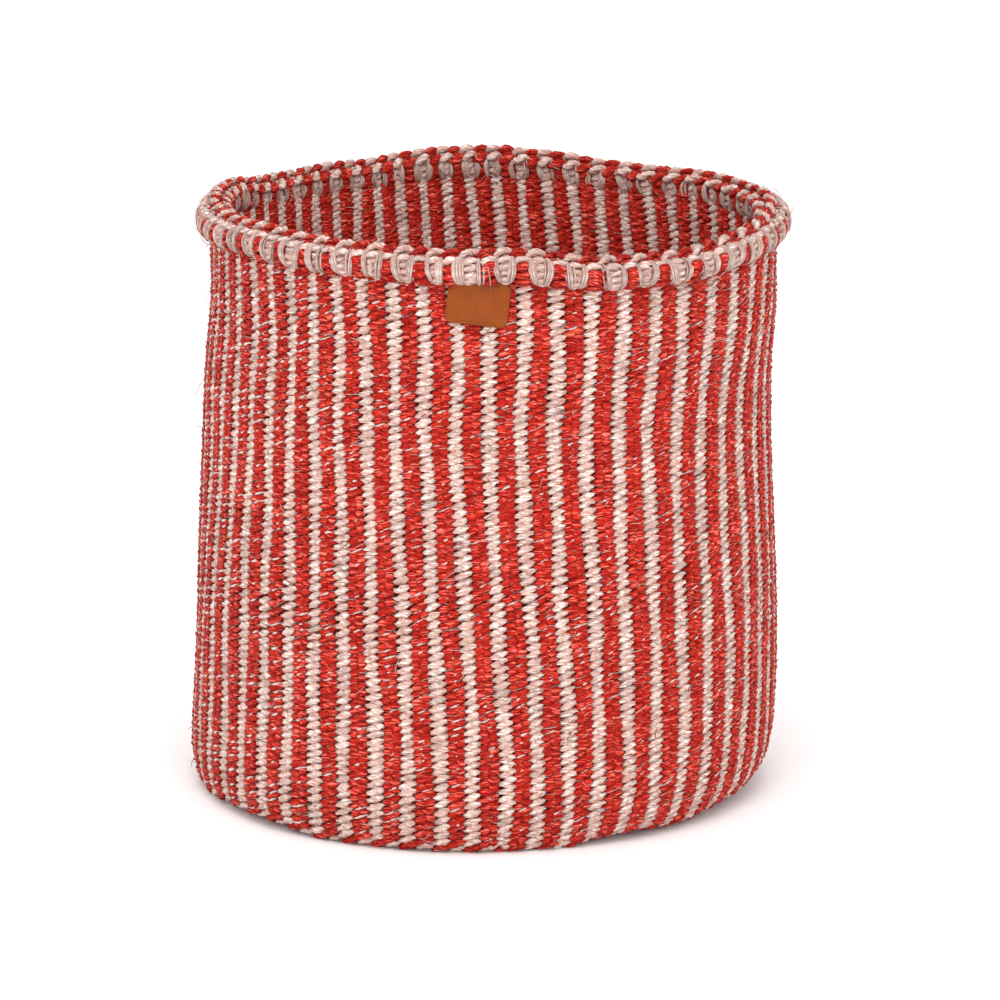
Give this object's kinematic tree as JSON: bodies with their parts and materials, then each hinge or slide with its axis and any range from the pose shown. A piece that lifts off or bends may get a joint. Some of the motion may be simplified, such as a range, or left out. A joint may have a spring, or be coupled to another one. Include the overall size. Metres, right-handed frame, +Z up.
{
  "type": "woven storage basket",
  "caption": "Round open storage basket twined from red and natural sisal in upright stripes, with a rounded heel, a thick lashed rim and a small bare leather tag.",
  "frame": {"origin": "centre of the underside, on the surface that the basket stands on", "axes": "+Z up along the basket's axis; the tag hangs on the -Y side"},
  "size_m": [0.255, 0.255, 0.256],
  "materials": {
    "red_sisal": "dyed two-ply sisal yarn, fibrous with a slight sheen",
    "natural_sisal": "undyed two-ply sisal yarn, fibrous with a slight sheen",
    "warp_sisal": "undyed sisal cord, hidden in the wall",
    "mixed_sisal": "red and natural sisal yarn twined together",
    "tan_leather": "smooth tan vegetable-tanned leather, matt"
  },
  "bodies": {
    "root": {"warps": "warp_sisal", "base_outer_weave": "mixed_sisal", "base_inner_weave": "mixed_sisal", "weft_natural": "natural_sisal", "weft_red": "red_sisal", "rim_roll": "red_sisal", "rim_lashing": "natural_sisal", "edge_strand_natural": "natural_sisal", "edge_strand_red": "red_sisal", "leather_tag": "tan_leather", "tag_thread": "natural_sisal"}
  },
  "joints": []
}
